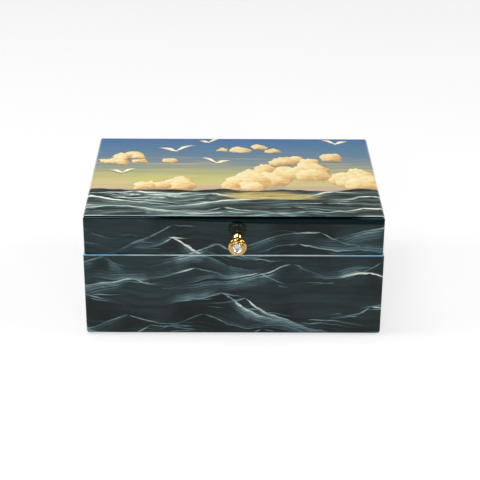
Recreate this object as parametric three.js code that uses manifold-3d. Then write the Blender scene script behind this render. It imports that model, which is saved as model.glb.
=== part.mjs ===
// A lacquered wooden keepsake box: a mitred case with a let-in floor, a lid on two brass butt
// hinges, a turned brass knob with a cut crystal, and a velvet lining whose lip locates the lid.
// Millimetres, +Z up. The origin is the middle of the underside, and the knob faces -Y.

import * as THREE from "three";
import { mergeVertices } from "three/addons/utils/BufferGeometryUtils.js";
import Module from "manifold-3d";

const wasm = await Module();
wasm.setup();

// Case and lid
const boxWidth = 220;
const boxDepth = 154;
const seamHeight = 67; // from the table to the middle of the gap under the lid
const lidHeight = 31; // from that gap to the top
const seamGap = 0.4;
const lidStep = 0.8; // how far the lid stands in from the case, which leaves a ledge at the seam
const wallThickness = 9;
const lidTopThickness = 6;
const floorThickness = 5;
const floorRebate = 4.5; // how far the floor reaches into the walls
const baizeThickness = 1;
const baizeMargin = 4; // from the outside of the walls to the edge of the baize

// Roundings of the outside
const uprightRadius = 1.5;
const footRadius = 2.5;
const lidEdgeRadius = 3;
const rimRadius = 0.6; // both edges of the seam

// Lining
const lipThickness = 2.5;
const lipRise = 3; // how far the lining boards stand above the seam
const lipClearance = 0.5; // between the lining boards and the inside of the lid
const floorPadThickness = 3.5;
const lidPadThickness = 3;
const padRadius = 1; // rounding of a pad's face edges
const padMargin = 0.4; // between a pad and what frames it

// Hinges
const openAngle = 100; // degrees, where the bevelled back edges meet
const stopSlack = 1; // degrees left between the bevels at that angle
const hingeLength = 30;
const hingeSetIn = 30; // from the box's side to the near end of a hinge
const hingeInset = 2.2; // from the back of the box to the pin's axis
const barrelRadius = 1.8;
const pinRadius = 0.8;
const knuckleCount = 5;
const leafThickness = 1.1;
const leafMargin = 0.6; // from the leaf's front edge to the inside of the lid's rail

// Wood screws of the hinges
const screwSpacing = 18; // between the two screws of a leaf
const screwHeadRadius = 1.4;
const screwHeadDepth = 0.8;
const screwRadius = 0.7;
const screwLength = 7;
const screwTipLength = 1.6;
const slotWidth = 0.4;
const slotDepth = 0.35;

// Knob, measured forward from the face of the lid along the knob's axis
const knobOffset = 2.5; // to the right of the middle
const knobRise = 13.8; // above the seam
const knobFootRadius = 4.4;
const knobFootThickness = 0.9; // of its straight edge
const knobShoulder = 3.8; // length of the foot's taper to the neck
const shoulderRound = 1.3; // how much of that length its round start takes
const knobNeckRadius = 2.9;
const headRadius = 6.8;
const headBack = 14.8; // where the flare of the neck reaches the head's radius
const headFlare = 2; // roundness of that flare
const headEdge = 0.4; // width of the band round the head
const headDome = 1.6; // depth of the head's round face
const headSlope = 0.4; // how much of that depth the face still rises near the bezel
const headLip = 0.2; // width of the flat between the head's face and the bezel
const bezelWall = 1.5;
const bezelHeight = 2;
const bezelSink = 0.7; // how deep the bezel is let into the head
const crystalRadius = 3.3;
const crystalTableRadius = 2;
const crownHeight = 1.3;
const girdleHeight = 0.4;
const pavilionDepth = 2.2;

// Knob fastening
const knobScrewRadius = 1.5;
const knobScrewGrip = 6; // length of the screw inside the knob
const knobScrewHeadRadius = 2.8;
const knobScrewHeadHeight = 1.9;
const washerRadius = 3.6;
const washerThickness = 0.8;
const headSink = 0.6; // the screw's head below the inside of the rail

// Clearances
const glueLine = 0.1; // between glued faces
const fitGap = 0.25; // round fasteners, leaves and knuckles
const pinGap = 0.12; // between the pin and its knuckles

// Facets
const roundSteps = 5; // of a quarter round
const turnedSides = 28;
const smallSides = 14;
const curveSteps = 7;

// Places worked out from the sizes above
const halfWidth = boxWidth / 2;
const halfDepth = boxDepth / 2;
const footZ = baizeThickness;
const rimZ = seamHeight - seamGap / 2;
const lidRimZ = seamHeight + seamGap / 2;
const topZ = seamHeight + lidHeight;
const floorTopZ = footZ + floorThickness;
const panelZ = topZ - lidTopThickness; // the underside of the lid's top panel
const railThickness = wallThickness - lidStep - lipClearance;
const lidInset = lidStep + railThickness; // from the outside of the case to the inside of the lid
const liningInset = wallThickness + glueLine; // from the outside of the box to the lining's back
const padInset = liningInset + lipThickness + padMargin;
const hingeAxisY = halfDepth - hingeInset;
const hingeX = halfWidth - hingeSetIn - hingeLength / 2;
const leafReach = lidInset - hingeInset - leafMargin; // forward from the pin's axis
const screwY = -(barrelRadius + leafReach) / 2; // from the pin's axis
const knuckleLength = hingeLength / knuckleCount;
const lidFaceY = lidStep - halfDepth; // the front of the lid
const knobZ = seamHeight + knobRise;
const shoulderEnd = knobFootThickness + knobShoulder;
const roundEnd = knobFootThickness + shoulderRound;
const bezelRadius = crystalRadius + glueLine + bezelWall;
const headFaceRadius = bezelRadius + glueLine + headLip;
const headFront = headBack + headEdge + headDome;
const bezelSeat = headFront - bezelSink;
const bezelBack = bezelSeat + glueLine;
const crystalSeat = bezelBack + bezelHeight - girdleHeight; // the girdle's back edge
const far = boxWidth + boxDepth + seamHeight + lidHeight; // past every face of the box
const quarter = Math.PI / 2;

// Materials, in the colours of the finished box
const finish = (color, roughness, metalness) =>
  new THREE.MeshStandardMaterial({ color, roughness, metalness });
const seaLacquer = finish(0x2b3132, 0.25, 0);
const skyLacquer = finish(0x7787a0, 0.25, 0);
const bareWood = finish(0x8a6a48, 0.7, 0);
const velvet = finish(0x5c0f18, 0.95, 0);
const baize = finish(0x1f2a24, 1, 0);
const brass = finish(0xd8a63a, 0.18, 1);
const steel = finish(0xb9b9b4, 0.35, 1);
const glass = finish(0xeef3fa, 0.03, 0);

// Solids from three.js geometry, and back
function solidOf(geometry) {
  const bare = geometry.clone();
  bare.deleteAttribute("normal");
  bare.deleteAttribute("uv");
  const merged = mergeVertices(bare);
  return new wasm.Manifold(
    new wasm.Mesh({
      numProp: 3,
      vertProperties: merged.attributes.position.array,
      triVerts: new Uint32Array(merged.index.array),
    }),
  );
}

function geometryOf(solid) {
  const mesh = solid.getMesh();
  return new THREE.BufferGeometry()
    .setAttribute("position", new THREE.BufferAttribute(mesh.vertProperties, 3))
    .setIndex(new THREE.BufferAttribute(mesh.triVerts, 1));
}

const cut = (solid, ...tools) => tools.reduce((left, tool) => left.subtract(tool), solid);
const join = (first, ...rest) => rest.reduce((whole, piece) => whole.add(piece), first);
const common = (first, ...rest) => rest.reduce((left, piece) => left.intersect(piece), first);

function part(name, shape, material) {
  const geometry = shape.isBufferGeometry ? shape : geometryOf(shape);
  const mesh = new THREE.Mesh(geometry, material);
  mesh.name = name;
  return mesh;
}

function at(object, x, y, z) {
  object.position.set(x, y, z);
  return object;
}

// A box between two corners
function block(low, high) {
  const [width, depth, height] = high.map((value, i) => value - low[i]);
  const [x, y, z] = high.map((value, i) => (value + low[i]) / 2);
  return solidOf(new THREE.BoxGeometry(width, depth, height).translate(x, y, z));
}

// A box centred on the Z axis, set in by an equal amount from the four sides of the box
const insetBlock = (inset, lowZ, highZ) =>
  block([inset - halfWidth, inset - halfDepth, lowZ], [halfWidth - inset, halfDepth - inset, highZ]);

// A rectangle with one radius at its two lower corners and another at its upper ones
function roundedRectangle(halfSpan, low, high, lowRadius, highRadius) {
  const shape = new THREE.Shape();
  shape.moveTo(lowRadius - halfSpan, low);
  shape.absarc(halfSpan - lowRadius, low + lowRadius, lowRadius, -quarter, 0);
  shape.absarc(halfSpan - highRadius, high - highRadius, highRadius, 0, quarter);
  shape.absarc(highRadius - halfSpan, high - highRadius, highRadius, quarter, 2 * quarter);
  shape.absarc(lowRadius - halfSpan, low + lowRadius, lowRadius, 2 * quarter, 3 * quarter);
  return shape;
}

const prism = (shape, length) =>
  new THREE.ExtrudeGeometry(shape, { depth: length, bevelEnabled: false, curveSegments: roundSteps });

// A block with rounded edges: what its plan, front and side outlines have in common
function roundedBlock(halfX, halfY, lowZ, highZ, radii) {
  const plan = roundedRectangle(halfX, -halfY, halfY, radii.upright, radii.upright);
  const front = roundedRectangle(halfX, lowZ, highZ, radii.low, radii.high);
  const side = roundedRectangle(halfY, lowZ, highZ, radii.low, radii.high);
  return common(
    solidOf(prism(plan, far).translate(0, 0, -far / 2)),
    solidOf(prism(front, far).translate(0, 0, -far / 2).rotateX(quarter)),
    solidOf(prism(side, far).translate(0, 0, -far / 2).rotateX(quarter).rotateZ(quarter)),
  );
}

// A rod along X, Y or Z between two places on that axis
function rod(axis, radius, from, to, sides) {
  const geometry = new THREE.CylinderGeometry(radius, radius, to - from, sides);
  geometry.translate(0, (from + to) / 2, 0);
  if (axis === "x") geometry.rotateZ(-quarter);
  if (axis === "z") geometry.rotateX(quarter);
  return solidOf(geometry);
}

// The four sides of the box, mitred at the corners
const sides = [
  { name: "front", turn: 0, halfSpan: halfWidth, offset: halfDepth },
  { name: "right", turn: quarter, halfSpan: halfDepth, offset: halfWidth },
  { name: "back", turn: 2 * quarter, halfSpan: halfWidth, offset: halfDepth },
  { name: "left", turn: -quarter, halfSpan: halfDepth, offset: halfWidth },
];

// Everything between the two mitre planes of one side
function mitreWedge({ turn, halfSpan, offset }) {
  const inner = wallThickness + 1;
  const outer = 1;
  const back = (glueLine / 2) * Math.SQRT2;
  const plan = new THREE.Shape();
  plan.moveTo(-halfSpan - outer + back, -offset - outer);
  plan.lineTo(halfSpan + outer - back, -offset - outer);
  plan.lineTo(halfSpan - inner - back, -offset + inner);
  plan.lineTo(-halfSpan + inner + back, -offset + inner);
  return solidOf(prism(plan, far).translate(0, 0, -far / 2).rotateZ(turn));
}

// What the back bevel takes off the case, or off the lid, so that the two meet at the open angle
function backBevel(edgeZ, up) {
  const slope = Math.tan(THREE.MathUtils.degToRad((openAngle + stopSlack) / 2));
  const reach = hingeInset + 1;
  const side = new THREE.Shape();
  side.moveTo(hingeAxisY, edgeZ);
  side.lineTo(hingeAxisY, edgeZ - up);
  side.lineTo(hingeAxisY + reach, edgeZ - up);
  side.lineTo(hingeAxisY + reach, edgeZ + up * reach * slope);
  const along = prism(side, far).translate(0, 0, -far / 2);
  return solidOf(along.rotateX(quarter).rotateZ(quarter));
}

// Turned shapes stand on +Y, from points of radius and height
const turned = (points, steps) =>
  new THREE.LatheGeometry(
    points.map(([radius, height]) => new THREE.Vector2(radius, height)),
    steps,
  );

// Wood screw with its head's face at the origin and its tip down -Y, grown all round by a clearance
function woodScrew(gap) {
  const profile = [
    [0, -screwLength - gap],
    [screwRadius + gap, screwTipLength - screwLength - gap],
    [screwRadius + gap, -screwHeadDepth - gap],
    [screwHeadRadius + gap, 0],
    [screwHeadRadius + gap, gap],
    [0, gap],
  ];
  return turned(gap ? profile : profile.filter((point, i) => i !== 4), smallSides);
}

function slottedScrew() {
  const slot = block(
    [-screwHeadRadius - 1, -slotDepth, -slotWidth / 2],
    [screwHeadRadius + 1, slotDepth, slotWidth / 2],
  );
  return cut(solidOf(woodScrew(0)), slot);
}

// The two screws of a leaf: where they are, and the way they point
const screwPlaces = [-screwSpacing / 2, screwSpacing / 2];
const leafEdge = (up) => (up * seamGap) / 2; // the leaf's face, from the pin's axis

function screwHoles(up) {
  return screwPlaces.map((x) =>
    solidOf(woodScrew(fitGap).rotateX(-up * quarter).translate(x, screwY, leafEdge(up))),
  );
}

// One leaf with its knuckles, about the pin's axis: up is 1 for the lid's leaf and -1 for the case's
function hingeLeaf(up) {
  const inLid = up > 0;
  const faces = [leafEdge(up), leafEdge(up) + up * leafThickness].sort((a, b) => a - b);
  const plate = block([-hingeLength / 2, -leafReach, faces[0]], [hingeLength / 2, 0, faces[1]]);
  const own = [];
  const other = [];
  for (let i = 0; i < knuckleCount; i += 1) {
    const from = i * knuckleLength - hingeLength / 2;
    const mine = (i % 2 === 1) === inLid;
    const gap = mine ? -fitGap / 2 : fitGap / 2;
    const radius = mine ? barrelRadius : barrelRadius + fitGap;
    const ends = [from - gap, from + knuckleLength + gap];
    if (mine && i === 0) ends[0] = from;
    if (mine && i === knuckleCount - 1) ends[1] = from + knuckleLength;
    (mine ? own : other).push(rod("x", radius, ends[0], ends[1], smallSides));
  }
  const bore = rod("x", pinRadius + pinGap, -hingeLength, hingeLength, smallSides);
  return cut(join(cut(plate, ...other), ...own), bore, ...screwHoles(up));
}

// What a hinge takes out of the case or the lid: the leaf's mortise, the barrel's groove, the screws
function hingeRecess(x, up) {
  const reach = leafReach + fitGap;
  const length = hingeLength / 2 + fitGap;
  const depth = up * (seamGap / 2 + leafThickness + fitGap);
  const low = [-length, -reach, Math.min(depth, -up * seamGap)];
  const high = [length, 0, Math.max(depth, -up * seamGap)];
  const groove = rod("x", barrelRadius + fitGap, -length, length, smallSides);
  return join(block(low, high), groove, ...screwHoles(up)).translate([x, hingeAxisY, seamHeight]);
}

const hingePlaces = [
  { name: "left", x: -hingeX },
  { name: "right", x: hingeX },
];

function hinge({ name, x }) {
  const group = new THREE.Group();
  group.add(part(`hinge_${name}_case_leaf`, hingeLeaf(-1), brass));
  group.add(part(`hinge_${name}_lid_leaf`, hingeLeaf(1), brass));
  const pin = rod("x", pinRadius, -hingeLength / 2, hingeLength / 2, smallSides);
  group.add(part(`hinge_${name}_pin`, pin, brass));
  for (const [where, up] of [["case", -1], ["lid", 1]]) {
    screwPlaces.forEach((along, i) => {
      const screw = part(`hinge_${name}_${where}_screw_${i + 1}`, slottedScrew(), brass);
      screw.rotation.x = -up * quarter;
      group.add(at(screw, along, screwY, leafEdge(up)));
    });
  }
  return at(group, x, hingeAxisY, seamHeight);
}

// Case: four walls with a rebate for the floor, the back bevel and the hinge mortises
function caseWalls() {
  const radii = { upright: uprightRadius, low: footRadius, high: rimRadius };
  const shell = cut(
    roundedBlock(halfWidth, halfDepth, footZ, rimZ, radii),
    insetBlock(wallThickness, -far, far),
    insetBlock(wallThickness - floorRebate, -far, floorTopZ + glueLine),
    backBevel(rimZ, -1),
    ...hingePlaces.map(({ x }) => hingeRecess(x, -1)),
  );
  return sides.map((side) => part(`case_${side.name}_wall`, common(shell, mitreWedge(side)), seaLacquer));
}

function floorPanel() {
  const shape = insetBlock(wallThickness - floorRebate + glueLine, footZ, floorTopZ);
  return part("floor_panel", shape, bareWood);
}

function baizeSheet() {
  const radii = { upright: uprightRadius, low: baizeThickness / 4, high: baizeThickness / 4 };
  const shape = roundedBlock(halfWidth - baizeMargin, halfDepth - baizeMargin, 0, footZ - glueLine, radii);
  return part("baize_underside", shape, baize);
}

// Lining boards: the front and back ones run right across, and the side ones fit between them
function liningBoards() {
  const lowZ = floorTopZ + glueLine;
  const highZ = seamHeight + lipRise;
  const x = halfWidth - liningInset;
  const y = halfDepth - liningInset;
  const sideY = y - lipThickness - glueLine;
  const boards = {
    front: [[-x, -y, lowZ], [x, lipThickness - y, highZ]],
    back: [[-x, y - lipThickness, lowZ], [x, y, highZ]],
    left: [[-x, -sideY, lowZ], [lipThickness - x, sideY, highZ]],
    right: [[x - lipThickness, -sideY, lowZ], [x, sideY, highZ]],
  };
  return Object.entries(boards).map(([name, [low, high]]) =>
    part(`lining_${name}_board`, block(low, high), velvet),
  );
}

function floorPad() {
  const low = floorTopZ + glueLine;
  const radii = { upright: padRadius, low: glueLine, high: padRadius };
  const shape = roundedBlock(halfWidth - padInset, halfDepth - padInset, low, low + floorPadThickness, radii);
  return part("floor_pad", shape, velvet);
}

// Lid: four rails under one top panel, with the back bevel, the hinge mortises and the knob's hole
function lidBlock() {
  const radii = { upright: uprightRadius, low: rimRadius, high: lidEdgeRadius };
  return roundedBlock(halfWidth - lidStep, halfDepth - lidStep, lidRimZ, topZ, radii);
}

function lidRails() {
  const shell = cut(
    lidBlock(),
    insetBlock(lidInset, -far, far),
    insetBlock(-far, panelZ - glueLine, far),
    backBevel(lidRimZ, 1),
    ...hingePlaces.map(({ x }) => hingeRecess(x, 1)),
    knobHole(),
  );
  return sides.map((side) => part(`lid_${side.name}_rail`, common(shell, mitreWedge(side)), seaLacquer));
}

function lidTop() {
  return part("lid_top_panel", cut(lidBlock(), insetBlock(-far, -far, panelZ)), skyLacquer);
}

function lidPad() {
  const inset = lidInset + padMargin;
  const high = panelZ - glueLine;
  const radii = { upright: padRadius, low: padRadius, high: glueLine };
  const shape = roundedBlock(halfWidth - inset, halfDepth - inset, high - lidPadThickness, high, radii);
  return part("lid_pad", shape, velvet);
}

// Knob: its axis is +Y of a group that is turned to face the front
const boreDepth = knobScrewGrip + 2 * fitGap;
const counterboreDepth = washerThickness + knobScrewHeadHeight + headSink + 2 * glueLine;
const washerFace = counterboreDepth - railThickness; // where the washer bears, behind the lid's face

// The hole through the front rail, with the counterbore for the washer and the screw's head
function knobHole() {
  const hole = rod("y", knobScrewRadius + fitGap, -far, far, smallSides);
  const counterbore = rod("y", washerRadius + fitGap, -far, washerFace, turnedSides);
  const both = join(hole, counterbore).rotate([180, 0, 0]).translate([knobOffset, lidFaceY, knobZ]);
  return common(both, block([-far, -far, -far], [far, 0, far]));
}

function knobBody() {
  const bore = knobScrewRadius + fitGap;
  const bezelHole = bezelRadius + glueLine;
  const seatFloor = Math.min(crystalSeat - pavilionDepth - fitGap, bezelSeat);
  const outline = new THREE.Path();
  outline.moveTo(0, boreDepth);
  outline.lineTo(bore, boreDepth);
  outline.lineTo(bore, glueLine);
  outline.lineTo(knobFootRadius, glueLine);
  outline.lineTo(knobFootRadius, knobFootThickness);
  outline.quadraticCurveTo(knobFootRadius, roundEnd, knobNeckRadius, shoulderEnd);
  outline.quadraticCurveTo(knobNeckRadius, headBack - headFlare, headRadius, headBack);
  outline.lineTo(headRadius, headBack + headEdge);
  outline.quadraticCurveTo(headRadius, headFront - headSlope, headFaceRadius, headFront);
  outline.lineTo(bezelHole, headFront);
  outline.lineTo(bezelHole, bezelSeat);
  outline.lineTo(crystalRadius, bezelSeat);
  outline.lineTo(0, seatFloor);
  const points = outline.getPoints(curveSteps).map((point) => [point.x, point.y]);
  return part("knob_body", turned(points, turnedSides), brass);
}

// The bezel ring is let into the head and holds the crystal by its girdle
function bezelRing() {
  const inner = crystalRadius + glueLine;
  const front = bezelBack + bezelHeight;
  const outline = new THREE.Path();
  outline.moveTo(inner, bezelBack);
  outline.lineTo(bezelRadius, bezelBack);
  outline.lineTo(bezelRadius, front - bezelWall);
  outline.quadraticCurveTo(bezelRadius, front, inner, front);
  outline.lineTo(inner, bezelBack);
  const points = outline.getPoints(curveSteps).map((point) => [point.x, point.y]);
  return part("knob_bezel", turned(points, turnedSides), brass);
}

function crystal() {
  const front = crystalSeat + girdleHeight;
  const profile = [
    [0, crystalSeat - pavilionDepth],
    [crystalRadius, crystalSeat],
    [crystalRadius, front],
    [crystalTableRadius, front + crownHeight],
    [0, front + crownHeight],
  ];
  return part("knob_crystal", turned(profile, turnedSides / 2), glass);
}

function knobWasher() {
  const back = washerFace - glueLine - washerThickness;
  const inner = knobScrewRadius + fitGap;
  const profile = [
    [inner, back],
    [washerRadius, back],
    [washerRadius, back + washerThickness],
    [inner, back + washerThickness],
    [inner, back],
  ];
  return part("knob_washer", turned(profile, turnedSides), steel);
}

function knobScrew() {
  const underHead = washerFace - 2 * glueLine - washerThickness;
  const profile = [
    [0, underHead - knobScrewHeadHeight],
    [knobScrewHeadRadius, underHead - knobScrewHeadHeight],
    [knobScrewHeadRadius, underHead],
    [knobScrewRadius, underHead],
    [knobScrewRadius, knobScrewGrip],
    [0, knobScrewGrip],
  ];
  const slot = block(
    [-far, underHead - knobScrewHeadHeight - 1, -slotWidth],
    [far, underHead - knobScrewHeadHeight + 2 * slotDepth, slotWidth],
  );
  return part("knob_screw", cut(solidOf(turned(profile, turnedSides)), slot), steel);
}

function knob() {
  const group = new THREE.Group();
  group.add(knobBody(), bezelRing(), crystal(), knobWasher(), knobScrew());
  group.rotation.x = 2 * quarter;
  return at(group, knobOffset, lidFaceY, knobZ);
}

const lacqueredBox = new THREE.Group();
lacqueredBox.add(...caseWalls(), floorPanel(), baizeSheet(), ...liningBoards(), floorPad());
lacqueredBox.add(...lidRails(), lidTop(), lidPad(), knob());
lacqueredBox.add(...hingePlaces.map(hinge));

export default lacqueredBox;
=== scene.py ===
"""A lacquered wooden box with a painted lid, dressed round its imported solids.

Metres, +Z up, the knob towards -Y. Paint is laid out in millimetres.
"""

import math
import random
from collections import namedtuple

import bmesh
import bpy
from mathutils import Matrix, Vector


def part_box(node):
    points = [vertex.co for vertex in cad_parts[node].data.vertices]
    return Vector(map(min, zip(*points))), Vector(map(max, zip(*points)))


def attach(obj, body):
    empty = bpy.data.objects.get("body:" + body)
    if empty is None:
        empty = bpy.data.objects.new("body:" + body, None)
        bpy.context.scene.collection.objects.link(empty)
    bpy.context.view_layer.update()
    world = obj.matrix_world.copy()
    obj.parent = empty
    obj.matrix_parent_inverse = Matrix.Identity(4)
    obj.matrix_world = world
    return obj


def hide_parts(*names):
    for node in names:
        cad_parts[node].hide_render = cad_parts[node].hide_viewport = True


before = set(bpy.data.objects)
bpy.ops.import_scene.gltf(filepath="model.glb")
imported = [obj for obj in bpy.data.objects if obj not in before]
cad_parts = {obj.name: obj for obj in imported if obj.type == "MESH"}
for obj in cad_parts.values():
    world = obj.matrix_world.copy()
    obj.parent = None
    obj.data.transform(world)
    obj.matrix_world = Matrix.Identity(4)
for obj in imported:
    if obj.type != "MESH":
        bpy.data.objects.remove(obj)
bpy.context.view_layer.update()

MM = 0.001

# Roundings and thin sizes of the box, which the solids share
UPRIGHT_RADIUS = 1.5 * MM
FOOT_RADIUS = 2.5 * MM
LID_EDGE_RADIUS = 3.0 * MM
RIM_RADIUS = 0.6 * MM
FLOOR_REBATE = 4.5 * MM
SEAM_HALF_GAP = 0.2 * MM
HINGE_INSET = 2.2 * MM
OPEN_BEVEL = math.radians(50.5)

# Where the solids are
HALF_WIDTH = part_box("case_right_wall")[1].x
HALF_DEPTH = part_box("case_back_wall")[1].y
FOOT_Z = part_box("case_front_wall")[0].z
RIM_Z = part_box("case_front_wall")[1].z
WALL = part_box("case_front_wall")[1].y + HALF_DEPTH
FLOOR_TOP_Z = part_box("floor_panel")[1].z
LID_HALF_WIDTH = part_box("lid_top_panel")[1].x
LID_HALF_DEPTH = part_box("lid_top_panel")[1].y
LID_RIM_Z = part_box("lid_front_rail")[0].z
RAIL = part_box("lid_front_rail")[1].y + LID_HALF_DEPTH
PANEL_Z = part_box("lid_top_panel")[0].z
TOP_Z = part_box("lid_top_panel")[1].z
HINGE_Y = HALF_DEPTH - HINGE_INSET
SEAM_Z = RIM_Z + SEAM_HALF_GAP

# Where the photograph was taken from
CAMERA_ELEVATION = math.radians(25.941)
CAMERA_AZIMUTH = math.radians(-0.546)
CAMERA_ROLL = math.radians(0.429)
CAMERA_TARGET = Vector((0.00512, 0.0, 0.04185))
CAMERA_DISTANCE = 1.0791
CAMERA_LENS = 102.69


# Finishes: materials made of node expressions


class Wire:
    """A value in a node tree. Arithmetic on wires adds Math nodes."""

    def __init__(self, nodes, socket):
        self.nodes = nodes
        self.socket = socket

    def __add__(self, other):
        return self.nodes.math("ADD", self, other)

    __radd__ = __add__

    def __sub__(self, other):
        return self.nodes.math("SUBTRACT", self, other)

    def __rsub__(self, other):
        return self.nodes.math("SUBTRACT", other, self)

    def __mul__(self, other):
        return self.nodes.math("MULTIPLY", self, other)

    __rmul__ = __mul__

    def __truediv__(self, other):
        return self.nodes.math("DIVIDE", self, other)

    def __rtruediv__(self, other):
        return self.nodes.math("DIVIDE", other, self)

    def __pow__(self, other):
        return self.nodes.math("POWER", self, other)

    def __neg__(self):
        return self.nodes.math("MULTIPLY", self, -1)

    def __abs__(self):
        return self.nodes.math("ABSOLUTE", self)

    def beside(self, output):
        """Another output of the same node."""
        return Wire(self.nodes, self.socket.node.outputs[output])


class Nodes:
    """A node tree written as expressions."""

    def __init__(self, tree):
        self.tree = tree
        tree.nodes.clear()

    def node(self, kind, settings=None, inputs=None, output=0):
        """One node of a kind: its settings first, then the values or links of its sockets."""
        node = self.tree.nodes.new(kind)
        for key, value in (settings or {}).items():
            if key == "stops":
                ramp = node.color_ramp.elements
                while len(ramp) < len(value):
                    ramp.new(1.0)
                for element, (place, colour) in zip(ramp, value):
                    element.position = place
                    element.color = colour
            else:
                setattr(node, key, value)
        for key, value in (inputs or {}).items():
            if isinstance(value, Wire):
                self.tree.links.new(value.socket, node.inputs[key])
            else:
                node.inputs[key].default_value = value
        return Wire(self, node.outputs[output])

    def math(self, operation, *values):
        return self.node("ShaderNodeMath", {"operation": operation}, dict(enumerate(values)))

    def line(self, value, slope, start):
        """value * slope + start"""
        return self.math("MULTIPLY_ADD", value, slope, start)

    def largest(self, a, b):
        return self.math("MAXIMUM", a, b)

    def smallest(self, a, b):
        return self.math("MINIMUM", a, b)

    def ramp(self, value, start, end, low=0.0, high=1.0):
        """Smoothly from low to high as value goes from start to end, held beyond them."""
        names = ("Value", "From Min", "From Max", "To Min", "To Max")
        inputs = dict(zip(names, (value, start, end, low, high)))
        settings = {"interpolation_type": "SMOOTHSTEP", "clamp": False}
        return self.node("ShaderNodeMapRange", settings, inputs)

    def blend(self, a, b, amount):
        """Number a going to b."""
        return self.line(b - a, amount, a)

    def mix(self, a, b, amount):
        """Colour a going to b."""
        return self.node("ShaderNodeMix", {"data_type": "RGBA"}, {0: amount, 6: a, 7: b}, output=2)

    def tint(self, a, b, amount):
        """Colour a multiplied by colour b."""
        settings = {"data_type": "RGBA", "blend_type": "MULTIPLY"}
        return self.node("ShaderNodeMix", settings, {0: amount, 6: a, 7: b}, output=2)

    def colours(self, value, stops):
        settings = {"stops": [(place, srgb(*colour)) for place, colour in stops]}
        return self.node("ShaderNodeValToRGB", settings, {0: value})

    def point(self, x, y, z):
        return self.node("ShaderNodeCombineXYZ", None, {0: x, 1: y, 2: z})

    def split(self, vector):
        return [self.node("ShaderNodeSeparateXYZ", None, {0: vector}, output=axis) for axis in range(3)]

    def noise(self, where, scale=1.0, detail=2.0, roughness=0.5):
        inputs = {"Vector": where, "Scale": scale, "Detail": detail, "Roughness": roughness}
        return self.node("ShaderNodeTexNoise", None, inputs)


class Brush(Nodes):
    """A node group that lays one touch of paint over what is there."""

    def __init__(self, name, inputs, outputs):
        super().__init__(bpy.data.node_groups.new(name, "ShaderNodeTree"))
        for way, names in (("INPUT", inputs), ("OUTPUT", outputs)):
            for socket in names:
                self.tree.interface.new_socket(socket, in_out=way, socket_type="NodeSocketFloat")
        source = self.tree.nodes.new("NodeGroupInput")
        self.given = [Wire(self, source.outputs[socket]) for socket in inputs]

    def gives(self, *wires):
        sink = self.tree.nodes.new("NodeGroupOutput")
        for wire, socket in zip(wires, sink.inputs):
            self.tree.links.new(wire.socket, socket)

    def touch(self, finish, **inputs):
        return finish.node("ShaderNodeGroup", {"node_tree": self.tree}, inputs)


class Finish(Nodes):
    """A procedural material for one of the box's surfaces."""

    def __init__(self, name):
        self.material = bpy.data.materials.new(name)
        self.material.use_nodes = True
        super().__init__(self.material.node_tree)

    def place(self):
        """The point on the box in its own frame, in millimetres: x, y, z."""
        at = self.node("ShaderNodeTexCoord", output="Object")
        at = self.node("ShaderNodeVectorMath", {"operation": "SCALE"}, {0: at, "Scale": 1 / MM})
        return self.split(at)

    def bump(self, height, distance, strength):
        inputs = {"Height": height, "Distance": distance, "Strength": strength}
        return self.node("ShaderNodeBump", None, inputs)

    def surface(self, **sockets):
        """The finish's shader. Socket names are written with underscores."""
        inputs = {name.replace("_", " "): value for name, value in sockets.items()}
        shader = self.node("ShaderNodeBsdfPrincipled", None, inputs)
        out = self.tree.nodes.new("ShaderNodeOutputMaterial")
        self.tree.links.new(shader.socket, out.inputs["Surface"])
        return self.material


def srgb(red, green, blue):
    """A colour as it looks, 0 to 255, as the linear colour that nodes take."""
    shares = [value / 255 for value in (red, green, blue)]
    linear = [s / 12.92 if s <= 0.04045 else ((s + 0.055) / 1.055) ** 2.4 for s in shares]
    return (*linear, 1.0)


# Paint: brush strokes that leave the crests of waves

LONG = HALF_WIDTH / MM
SHORT = HALF_DEPTH / MM
PATTERN = 2 * (LONG + SHORT)  # the paint goes half round the box, and again on the far side

# From its crest at (u, v) a stroke runs along and drops. Its veil is a wash that fades out on one
# side of it.
Stroke = namedtuple("Stroke", "u v run drop bend width load veil soft side", defaults=(0.0, 1.0, 1))
TIP = 5.0  # length of a stroke's pointed start
SPREAD = 9.0  # how far above and below its line a stroke may show


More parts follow.
